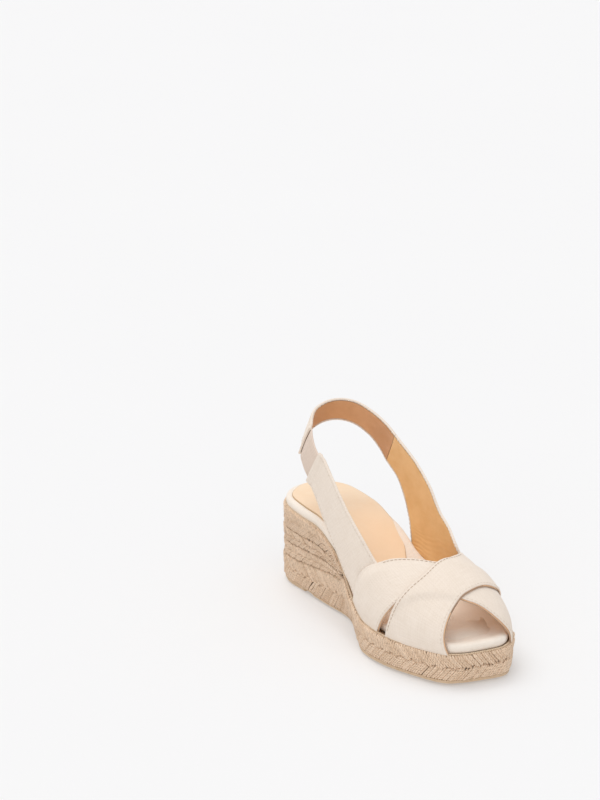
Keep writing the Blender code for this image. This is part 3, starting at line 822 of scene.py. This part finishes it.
def build_fibres():
    """Loose fibres that stand off the jute."""
    batch = Batch()
    paths, normals = [], []
    t = np.linspace(0.0, 1.0, 6)
    for _ in range(LOOSE_FIBRES):
        arc = RANDOM.uniform(0.0, ROUND)
        y = arc_y(arc)
        height = RANDOM.uniform(underside(y) + 0.5, feather(y) - 0.8)
        length = RANDOM.uniform(1.5, 6.0)
        turn = RANDOM.uniform(0.0, 2.0 * math.pi)
        lift = RANDOM.uniform(0.2, 1.6)
        curl = RANDOM.normal(0.0, 0.5)
        angle = turn + curl * t
        at = arc + length * t * np.cos(angle)
        level = np.clip(height + length * t * np.sin(angle) - 0.4 * t * t, 0.4, None)
        paths.append(side_point(at, level, 0.4 + lift * np.sin(2.4 * t)))
        normals.append(wall_normals(at))
    tubes(batch, paths, np.array(normals), 0.085, 0.085, [0.5] * len(paths), sides=3)
    made = batch.build("jute_loose_fibres", [FIBRE_SKIN])
    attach(made, "base")


# ---- footbed -----------------------------------------------------------------
def footbed_inset(y):
    """Distance of the footbed edge from the jute edge: more where the upper is lasted."""
    return 5.4 - 4.2 * smooth((y + 5.0) / 40.0) - 2.9 * smooth((-103.0 - y) / 9.0)


def footbed_ring(extra, inset, shrink=1.0, cup=0.0, hollow=0.0):
    """Ring of the footbed: extra height above the feather line and inset from its edge.

    Its sides lean out to the quarters, and the medial edge is cupped up under the arch.
    shrink draws the ring towards the middle line of the footbed, and hollow lowers it
    behind the rolled rim at the toe.
    """
    flat = inward(TOP, lambda y: footbed_inset(y) + inset)
    y = flat[:, 1]
    wrapped = smooth((y + 52.0) / 25.0) * smooth((46.0 - y) / 34.0)
    toward_medial = np.clip(LOOP_NORMAL[:, 0], 0.0, 1.0)
    lean = wrapped * smooth(extra / 5.0) * (2.0 + toward_medial * (0.8 + 3.0 * smooth((8.0 - y) / 40.0)))
    flat = flat + LOOP_NORMAL * lean[:, None]
    spine = np.stack([np.full(RING, -1.5), np.clip(flat[:, 1], -60.0, 70.0)], axis=1)
    flat = spine + (flat - spine) * shrink
    level = feather(flat[:, 1]) + extra + 2.6 * cup * wrapped * toward_medial
    level = level - hollow * smooth((-70.0 - flat[:, 1]) / 12.0)
    return np.concatenate([flat, level[:, None]], axis=1)


def build_footbed():
    """Canvas cover of the footbed, rolled over its edge and hollow for the foam and board."""
    cover, foam_top = 1.2, 5.3
    profile = [(foam_top, cover), (0.3, cover), (0.3, 0.35), (0.8, 0.08), (1.8, -0.1), (3.0, -0.15),
               (4.2, -0.02), (5.2, 0.4), (5.9, 1.05), (6.3, 1.9), (6.45, 2.9)]
    rings = [footbed_ring(height, inset, cup=smooth(height / 6.0) if k > 1 else 0.0)
             for k, (height, inset) in enumerate(profile)]
    rings += [footbed_ring(FOOTBED, 4.2, cup=0.7, hollow=0.1), footbed_ring(FOOTBED, 7.0, 0.97, 0.25, 0.9),
              footbed_ring(FOOTBED, 7.0, 0.85, 0.0, 1.3), footbed_ring(FOOTBED, 7.0, 0.6, 0.0, 1.3),
              footbed_ring(FOOTBED, 7.0, 0.3), footbed_ring(FOOTBED, 7.0, 0.03)]
    arc = ARC[:RING]
    for level in range(4, 9):
        pucker = 0.09 * np.sin(arc / 1.15 + 2.0 * np.sin(arc / 17.0)) + 0.1 * wander(rings[level], 7.0, 8.0)
        rings[level][:, :2] += LOOP_NORMAL * pucker[:, None]
    batch = Batch()
    loft(batch, rings)
    made = batch.build("footbed_canvas", [RAND_SKIN])
    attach(made, "base")
    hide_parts("footbed_cover")


def build_sock():
    """Leather heel sock with a darker cut edge."""
    flat = outline((0.0, 112.5), SOCK_STATIONS, (-5.5, -18.0), steps=12)
    rings = []
    for height, inset in ((0.0, 0.0), (0.55, 0.0), (0.85, 0.12), (1.0, 0.45), (1.02, 1.6), (1.0, 5.0)):
        loop = inward(flat, inset)
        rings.append(np.concatenate([loop, (feather(loop[:, 1]) + FOOTBED + 0.05 + height)[:, None]], axis=1))
    batch = Batch()
    loft(batch, rings, skin=[1, 1, 1, 0, 0], cap_skin=0)
    made = batch.build("sock_leather_pad", [SOCK_SKIN, SOCK_EDGE_SKIN])
    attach(made, "base")
    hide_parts("heel_sock")


def dress_hidden_nodes():
    """Give the CAD pieces inside the sole their own materials."""
    for name, skin in (("wedge_core", CORK_SKIN), ("insole_board", BOARD_SKIN), ("insole_foam", FOAM_SKIN)):
        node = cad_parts[name]
        node.data.materials.clear()
        node.data.materials.append(skin)


# ---- vamp --------------------------------------------------------------------
def half_widths(y):
    """Lateral and medial x of the top outline at y."""
    half = RING // 2
    lateral = TOP[:half + 1]
    medial = np.concatenate([TOP[half:], TOP[:1]])[::-1]
    x_lateral = np.interp(-np.asarray(y, float), -lateral[:, 1], lateral[:, 0])
    x_medial = np.interp(-np.asarray(y, float), -medial[:, 1], medial[:, 0])
    return x_lateral, x_medial


def vamp_height(y):
    """Height of the vamp dome above the feather line."""
    full, front, fullness, climb_rate, blend = 43.0, 72.0, 1.6, 0.45, 17.3
    back = y + 45.0
    reach = np.clip(-back / front, 0.0, 1.0)
    climb = climb_rate * (back + np.hypot(back, blend))
    return full * (1.0 - reach**fullness) ** (1.0 / fullness) + climb


def vamp_inset(y):
    """Distance of the vamp's inner surface from the jute's edge at the feather line."""
    return 5.0 - 2.6 * smooth((y + 45.0) / 40.0)


def vamp_rise(degrees):
    """Share of the dome's height at an angle round the vamp."""
    return np.abs(np.sin(np.radians(degrees))) ** (2.0 / 2.3)


def vamp(y, degrees):
    """Point on the inner surface of the vamp: 0 degrees lateral, 180 medial."""
    y, degrees = np.broadcast_arrays(np.asarray(y, float), np.asarray(degrees, float))
    x_lateral, x_medial = half_widths(y)
    width = 0.5 * (x_medial - x_lateral) - vamp_inset(y)
    cos = np.cos(np.radians(degrees))
    side = -np.sign(cos) * np.abs(cos) ** (2.0 / 2.3)
    z = feather(y) + 0.1 + (vamp_height(y) + 0.7) * vamp_rise(degrees)
    return np.stack([0.5 * (x_lateral + x_medial) + width * side, y, z], axis=-1)


def edge_steps(count):
    """Shares from 0 to 1, closer together near both ends."""
    k = np.linspace(0.0, 1.0, count)
    return 0.35 * k + 0.65 * (0.5 - 0.5 * np.cos(math.pi * k))


# Band edges: y at even angles round the vamp, from the lateral side to the medial side.
OVER_FRONT = [-108.5, -104.7, -101.2, -97, -92, -88.5, -86, -79, -70]
OVER_REAR = [-64, -67.7, -70, -70.4, -65, -59, -47, -32, -16]
UNDER_FRONT = [-55.5, -64.6, -73.8, -86, -97.8, -106.2, -110, -111.3, -112]
UNDER_REAR = [-16, -24.5, -37.5, -52, -66, -71, -73, -75, -76]
VAMP_CENTRE = (0.0, -60.0, 10.0)


def edge_at(edge, degrees):
    """The y of a band's edge at an angle round the vamp."""
    curve = open_curve(list(zip(np.linspace(0.0, 180.0, len(edge)), edge)), 200)
    return np.interp(degrees, curve[:, 0], curve[:, 1])


def band(front, rear, wider=0.0):
    """Angles, y values and surface grid of a vamp band; wider moves the front edge out."""
    rows, columns = 120, 30
    degrees = 180.0 * (0.5 - 0.5 * np.cos(np.linspace(0.0, math.pi, rows)))[:, None]
    y_front = edge_at(front, degrees) - wider
    y = y_front + (edge_at(rear, degrees) - y_front) * edge_steps(columns)[None, :]
    degrees = np.broadcast_to(degrees, y.shape)
    grid = vamp(y, degrees)
    return degrees, y, grid, outward_normals(grid, VAMP_CENTRE)


def tucked(degrees, y, level):
    """Outer level of a layer, brought in to the lasting edge near the sole."""
    height = vamp_height(y) * vamp_rise(degrees)
    seam = vamp_inset(y) - 0.6
    return seam + (level - seam) * smooth(height / 10.0)


def rear_dip(grid, depth):
    """How much a band sinks on to what lies under it, near its rear edge."""
    reach = 9.0
    across, width = across_distance(grid)
    return depth * (1.0 - smooth((width - across) / reach))


def hem(grid, fold=0.16):
    """Height of a folded hem along both edges, with a groove where it is stitched."""
    groove, groove_width = 0.2, 0.35
    near = edge_distance(grid)
    return fold * smooth((2.6 - near) / 1.2) - groove * np.exp(-((near - SEAM) / groove_width) ** 2)


def trimmed(grid, first, last):
    """The grid with its long edges moved in by first and last mm."""
    across, width = across_distance(grid)
    share = edge_steps(grid.shape[1])
    rows = []
    for row, at, wide in zip(grid, across, width[:, 0]):
        where = first + (wide - first - last) * share
        rows.append(np.stack([np.interp(where, at, row[:, k]) for k in range(3)], axis=-1))
    return np.array(rows)


def line_on(grid, normal, level, distance, far_edge=False):
    """Points and normals on a sheet's face, at a distance from one of its long edges."""
    across, width = across_distance(grid)
    face = grid + normal * level[..., None]
    points, normals = [], []
    for row, row_normal, at, wide in zip(face, normal, across, width[:, 0]):
        where = wide - distance if far_edge else distance
        points.append([np.interp(where, at, row[:, k]) for k in range(3)])
        normals.append([np.interp(where, at, row_normal[:, k]) for k in range(3)])
    return np.array(points), unit(np.array(normals))


def stitches(batch, points, normals, skin=0, radius=0.3, first=0.0, last=1.0):
    """Add a row of stitches on a line: each is a short arc that dives into the cloth."""
    stitch, gap = 2.2, 0.8
    length = np.concatenate([[0.0], np.cumsum(np.linalg.norm(np.diff(points, axis=0), axis=1))])
    start, end = first * length[-1], last * length[-1]
    count = int((end - start) / (stitch + gap))
    t = np.linspace(-0.5, 0.5, 7)
    paths, ups = [], []
    for k in range(count):
        where = start + (k + 0.5) * (stitch + gap) + t * stitch
        up = unit(np.stack([np.interp(where, length, normals[:, i]) for i in range(3)], axis=-1))
        path = np.stack([np.interp(where, length, points[:, i]) for i in range(3)], axis=-1)
        paths.append(path + up * (0.18 - 1.5 * t**2)[:, None])
        ups.append(up)
    if paths:
        tints = RANDOM.uniform(0.2, 0.8, len(paths))
        tubes(batch, np.array(paths), np.array(ups), radius, radius * 0.8, tints, skin=skin)


def cloth(name, materials, layers, nodes, flat, area=None):
    batch = Batch()
    for grid, normal, inner, outer, options in layers:
        sheet(batch, grid, normal, inner, outer, **options)
    made = batch.build(name, materials, sharp=60)
    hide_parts(*nodes)
    return made


def cover_of_under_band(degrees, y):
    """1 where the under band lies beneath, falling to 0 beside it."""
    inside = np.minimum(y - edge_at(UNDER_FRONT, degrees), edge_at(UNDER_REAR, degrees) - y)
    return smooth((inside + 6.5) / 6.0)


def build_vamp():
    """Two crossed bands of canvas, each on a cotton lining that shows at the openings."""
    thick, lining = 1.1, 0.55
    thread = Batch()
    bands = (
        ("under", UNDER_FRONT, UNDER_REAR, 4.7, lambda d: smooth((60.0 - d) / 18.0), 2.0,
         (47.0, 152.0), 5900.0),
        ("over", OVER_FRONT, OVER_REAR, 6.6, lambda d: smooth((d - 122.0) / 18.0), 1.3,
         (47.0, 148.0), 5600.0),
    )
    for name, front, rear, top, dips_at, dip, flat, area in bands:
        degrees, y, grid, normal = band(front, rear)
        sunk = 1.9 * (1.0 - cover_of_under_band(degrees, y)) if name == "over" else 0.0
        level = tucked(degrees, y, top - sunk - dips_at(degrees) * rear_dip(grid, dip))
        outer = level + hem(grid) + 0.16 * wander(grid, 19.0, 5.0) + 0.07 * wander(grid, 6.0, 9.0)
        cloth("vamp_" + name + "_canvas", [CANVAS_SKIN] * 3,
              [(grid, normal, level - thick, outer, {"round_edge": 0.8})],
              ["vamp_" + name + "_band"], flat, area)
        _, wide_y, wide_grid, wide_normal = band(front, rear, wider=0.9)
        shift = np.stack([np.interp(wide_y[i], y[i], level[i]) for i in range(len(y))])
        cloth("vamp_" + name + "_cotton", [LINING_SKIN, LINING_SKIN, EDGE_SKIN],
              [(wide_grid, wide_normal, shift - thick - 0.05 - lining, shift - thick - 0.05,
                {"round_edge": 0.35, "edge_width": 0.8})],
              ["vamp_" + name + "_lining"], flat, area)
        points, ups = line_on(grid, normal, outer, SEAM, far_edge=True)
        first, last = (0.03, 0.62) if name == "over" else (0.30, 0.60)
        stitches(thread, points, ups, skin=0, first=first, last=last)
        points, ups = line_on(grid, normal, outer, SEAM)
        stitches(thread, points, ups, skin=1, radius=0.22, first=0.03, last=0.97)
    made = thread.build("vamp_stitching", [THREAD_SKIN, PALE_THREAD_SKIN])
    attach(made, "base")
    for name in ("under", "over"):
        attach(bpy.data.objects["vamp_" + name + "_canvas"], "base")
        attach(bpy.data.objects["vamp_" + name + "_cotton"], "base")


# ---- straps ------------------------------------------------------------------
# Three lines each: front or top edge, middle, rear or lower edge.
LATERAL_STRAP = [
    [vamp(-42, 44), (-31, -31, 64.5), (-33.5, -17, 78), (-34.8, -1, 91), (-35, 19, 108.4),
     (-33.3, 36.6, 121.4)],
    [vamp(-33, 22), (-36, -23, 52), (-37.5, -7, 67), (-37.5, 10, 81), (-37.2, 26, 96.5),
     (-35.3, 43.5, 108.5)],
    [vamp(-21, 1), (-38, -13, 37), (-38.5, 3, 54), (-38.5, 20, 71), (-38, 33, 85), (-36, 49.5, 97)],
]
MEDIAL_STRAP = [
    [vamp(-50, 179), vamp(-48, 155), (27.6, -42, 64.5), (30, -28, 73.5), (31, -14, 81), (31.5, 1, 96),
     (31, 18, 108), (29, 42.5, 121)],
    [vamp(-20, 179), (30, -19, 46), (30.3, -14, 57), (30.8, -5, 67), (31.2, 5, 75.5), (31.5, 19, 86),
     (31, 31, 98), (29.5, 48, 109.5)],
    [vamp(13, 179), (25.6, 14.5, 49), (26.9, 17.8, 56), (28.2, 21.7, 63.3), (29.3, 26.2, 69.6),
     (30.5, 33, 78), (31, 42.6, 88.2), (29.5, 54.6, 96.8)],
]
HEEL_STRAP = [
    [(29, 43.0, 121.2), (28.5, 53, 126), (25.5, 66, 131.5), (19, 78, 137), (10, 85, 139), (0, 87.5, 138),
     (-9.5, 86, 134.6), (-16, 80, 130.6), (-21.6, 70.6, 126)],
    [(29.4, 48.5, 109.7), (28.8, 58.5, 115.5), (26, 70, 121.5), (19.5, 80, 127), (10.5, 87, 129.5),
     (0, 89.5, 129), (-11, 88, 125.8), (-19.5, 82, 121.3), (-25.5, 72.5, 116)],
    [(29.4, 55.1, 97.0), (28.8, 64, 104.3), (26, 74, 111.8), (19.5, 83, 118), (10.5, 89, 120.8),
     (0, 91, 120.8), (-11, 89.5, 117.8), (-21, 83.5, 112.6), (-28.5, 74, 106.5)],
]
# The elastic runs under the ends of the lateral strap and the heel strap.
ELASTIC = [
    [(-34.3, 33.6, 113.8), (-33.9, 39.7, 117.8), (-31.3, 50.6, 121.8), (-27.2, 60.8, 125),
     (-22.2, 70.0, 125.8), (-20.0, 73.8, 127.4)],
    [(-35.9, 38.2, 104.9), (-35.5, 44.1, 108.8), (-33.5, 54, 112.5), (-30.5, 63.5, 115), (-26.1, 71.9, 115.8),
     (-23.6, 75.6, 117.7)],
    [(-36.6, 44.4, 93.2), (-36.0, 50.1, 97.3), (-34.5, 58.5, 101), (-32, 66.5, 104), (-29.1, 73.4, 106.3),
     (-26.3, 76.9, 108.0)],
]


def ribbon(lines, rows, columns):
    """Grid of a strap through its three lines, curved across its width."""
    front, middle, rear = (open_curve(line, rows)[:, None, :] for line in lines)
    t = edge_steps(columns)[None, :, None]
    return (1 - t) * (1 - 2 * t) * front + 4 * t * (1 - t) * middle + t * (2 * t - 1) * rear


def end_lift(grid, height):
    """Height by which a strap's last end stands off, over what is sewn under it."""
    reach = 7.0
    along = along_distance(grid)
    return (height * smooth(1.0 - (along[-1] - along) / reach))[:, None]


def strap_layers(grid, lift, waves):
    """Levels of a strap's canvas and lining: the canvas is folded over the lining's edge."""
    near = edge_distance(grid)
    shape = waves * (0.3 * wander(grid, 17.0, 2.0) + 0.12 * wander(grid, 6.5, 4.0))
    outer = CANVAS + LINING + 0.3 + shape + lift + hem(grid, fold=0.12)
    inner = LINING + 0.1 + shape + lift * 0.9
    folded = inner - (LINING - 0.05) * smooth((1.5 - near) / 0.6)
    return shape, folded, outer


def sew_strap(name, lines, columns, centre, nodes, lining_skin, flat, area,
              lift=None, waves=1.0, wrinkles=None):
    """Make a strap's canvas, lining and stitches; returns the three objects."""
    rows, trim = 150, SEAM
    grid = ribbon(lines, rows, columns)
    normal = outward_normals(grid, centre)
    raise_by = np.zeros((rows, 1)) if lift is None else lift(grid)
    shape, folded, outer = strap_layers(grid, raise_by, waves)
    canvas = cloth(name + "_canvas", [CANVAS_SKIN] * 3,
                   [(grid, normal, folded, outer, {"round_edge": 0.7})], nodes[0], flat, area)
    inside = trimmed(grid, trim, trim)
    inside_normal = outward_normals(inside, centre)
    spans = zip(across_distance(inside)[0], across_distance(grid)[0], shape)
    bent = np.stack([np.interp(a + trim, b, c) for a, b, c in spans])
    relief = bent if wrinkles is None else bent + wrinkles(inside)
    relief = relief + 0.05 * wander(inside, 3.0, 7.0)
    top = np.minimum(LINING + relief, LINING + bent)
    leather = cloth(name + "_leather", [lining_skin, lining_skin, SOCK_EDGE_SKIN],
                    [(inside, inside_normal, np.minimum(relief, top - 0.35), top, {"round_edge": 0.4})],
                    nodes[1], (flat[0] - 4.0, flat[1]), area * 0.88)
    thread = Batch()
    for far in (False, True):
        points, ups = line_on(grid, normal, outer, SEAM, far_edge=far)
        stitches(thread, points, ups, skin=0, radius=0.24, first=0.02, last=0.98)
        points, ups = line_on(grid, normal, np.broadcast_to(folded, grid.shape[:2]), 0.95, far_edge=far)
        stitches(thread, points, -ups, skin=0, radius=0.26, first=0.02, last=0.98)
    sewing = thread.build(name + "_stitching", [PALE_THREAD_SKIN])
    return canvas, leather, sewing


def base_folds(grid):
    """Soft vertical folds low on the medial lining, where it is drawn into the sole."""
    along = along_distance(grid)[:, None]
    across = across_distance(grid)[0]
    low = smooth(1.0 - (along - 12.0) / 34.0)
    near = smooth(1.0 - (along - 26.0) / 12.0) * (0.35 + 0.65 * smooth(wander(grid, 8.0, 3.0) + 0.5))
    upright = 0.14 * low * (1.0 + np.sin(across / 2.6 + 0.09 * along))
    waver = 1.3 * np.sin(across / 5.0) + 0.9 * np.sin(across / 2.1)
    level = 0.11 * near * (1.0 + np.sin(along / 0.62 + waver))
    return -(upright + level) * smooth(edge_distance(grid) / 4.0)


def build_straps():
    """Two quarter straps, the heel strap and its elastic."""
    centre = (0.0, 0.0, 70.0)
    sides = (
        ("lateral", LATERAL_STRAP, (0.0, 0.348, 0.937), 6.0, 32.0, (31.0, 128.0), 3200.0,
         lambda grid: end_lift(grid, 1.8), None),
        ("medial", MEDIAL_STRAP, (0.0, 0.308, 0.951), 4.0, 30.0, (57.0, 148.0), 4600.0,
         None, base_folds),
    )
    for side, lines, direction, start, end, flat, area, lift, wrinkles in sides:
        nodes = [[side + part + layer for part in ("_base_", "_strap_")] for layer in ("canvas", "lining")]
        made = sew_strap(side + "_quarter", lines, 26, centre, nodes, TAN_SKIN, flat, area, lift,
                         wrinkles=wrinkles)
        direction = np.array(direction)
        for piece in made:
            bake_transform(piece)
    made = sew_strap("heel_loop", HEEL_STRAP, 22, (0.0, 40.0, 115.0),
                     (["heel_strap_canvas"], ["heel_strap_lining"]), BLUSH_SKIN, (23.0, 114.0), 2200.0,
                     lambda grid: end_lift(grid, 1.5), 0.9, heel_folds)
    for piece in made:
        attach(piece, "heel_loop")
    build_elastic()


def heel_folds(grid):
    """Creases across the heel strap's lining, where it bends round the heel."""
    along = along_distance(grid)[:, None]
    across = across_distance(grid)[0]
    bend = np.exp(-((along - 84.0) / 22.0) ** 2)
    ripple = np.sin((along + 0.9 * across) / 2.6) + 0.6 * np.sin(along / 1.5 + 0.5 * across)
    return -0.3 * bend * (1.0 + ripple) * smooth(edge_distance(grid) / 3.0)


def build_elastic():
    """Ribbed elastic, thin where it is sewn under the strap ends."""
    grid = ribbon(ELASTIC, 60, 26)
    normal = outward_normals(grid, (0.0, 40.0, 110.0))
    along = along_distance(grid)
    free = (smooth((along - 4.5) / 3.0) * smooth((along[-1] - 3.5 - along) / 3.0))[:, None]
    ribs = 0.08 * np.sin(across_distance(grid)[0] * 2.0 * math.pi / 1.9)
    middle = 1.0 + 0.1 * wander(grid, 12.0, 6.0)
    half = 0.28 + 0.32 * free
    outer = middle + half + ribs * free
    made = cloth("heel_elastic_band", [ELASTIC_SKIN] * 3,
                 [(grid, normal, middle - half, outer, {"round_edge": 0.4})], ["heel_elastic"],
                 (24.0, 44.0))
    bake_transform(made)


# ---- setting -----------------------------------------------------------------
def build_floor():
    """Plain pale floor, wide enough to fill the view: a white panel lit from below as well."""
    mesh = bpy.data.meshes.new("floor")
    reach, level = 60.0, -0.0002
    corners = [(x * reach, y * reach, level) for x, y in ((-1, -1), (1, -1), (1, 1), (-1, 1))]
    mesh.from_pydata(corners, [], [(0, 1, 2, 3)])
    n = Nodes("floor_white")
    grain = n.noise(n.place(), 3.0, 3.0)
    shade = n.mix(grain, (0.633, 0.632, 0.636), (0.645, 0.644, 0.647))
    white = n.finish(shade, 0.75, specular=0.1)
    shader = next(node for node in white.node_tree.nodes if node.type == "BSDF_PRINCIPLED")
    shader.inputs["Emission Color"].default_value = (1.0, 0.998, 1.0, 1.0)
    shader.inputs["Emission Strength"].default_value = 0.25
    mesh.materials.append(white)
    floor = bpy.data.objects.new("floor", mesh)
    bpy.context.scene.collection.objects.link(floor)


def build_light():
    """Even white surroundings, a soft light from behind and the outer side, and one from the front."""
    world = bpy.data.worlds.new("studio")
    world.use_nodes = True
    background = world.node_tree.nodes["Background"]
    background.inputs["Color"].default_value = (0.97, 0.98, 1.0, 1.0)
    background.inputs["Strength"].default_value = 0.62
    bpy.context.scene.world = world
    suns = (("key", 1.2, 44.0, 20.0, -165.0),
            ("fill", 0.58, 70.0, 50.0, -32.0))
    for name, strength, angle, tilt, turn in suns:
        light = bpy.data.lights.new(name, "SUN")
        light.energy = strength
        light.angle = math.radians(angle)
        light.color = (1.0, 0.985, 0.96)
        holder = bpy.data.objects.new(name, light)
        holder.rotation_euler = (math.radians(tilt), 0.0, math.radians(turn))
        bpy.context.scene.collection.objects.link(holder)


def build_camera():
    """Camera in front of the toe on the outer side, looking slightly down."""
    place, looking = (-0.8828, -1.4077, 0.7517), (0.4706, 0.8173, -0.3325)
    camera = bpy.data.cameras.new("camera")
    camera.lens = 115.2
    camera.sensor_width = 36.0
    camera.sensor_fit = "AUTO"
    holder = bpy.data.objects.new("camera", camera)
    holder.location = place
    holder.rotation_euler = Vector(looking).to_track_quat("-Z", "Y").to_euler()
    bpy.context.scene.collection.objects.link(holder)
    bpy.context.scene.camera = holder


build_rubber()
build_jute()
build_twine()
build_feather_cord()
build_fibres()
build_footbed()
build_sock()
dress_hidden_nodes()
build_vamp()
build_straps()
build_floor()
build_light()
build_camera()
bpy.context.scene.view_settings.view_transform = "Standard"
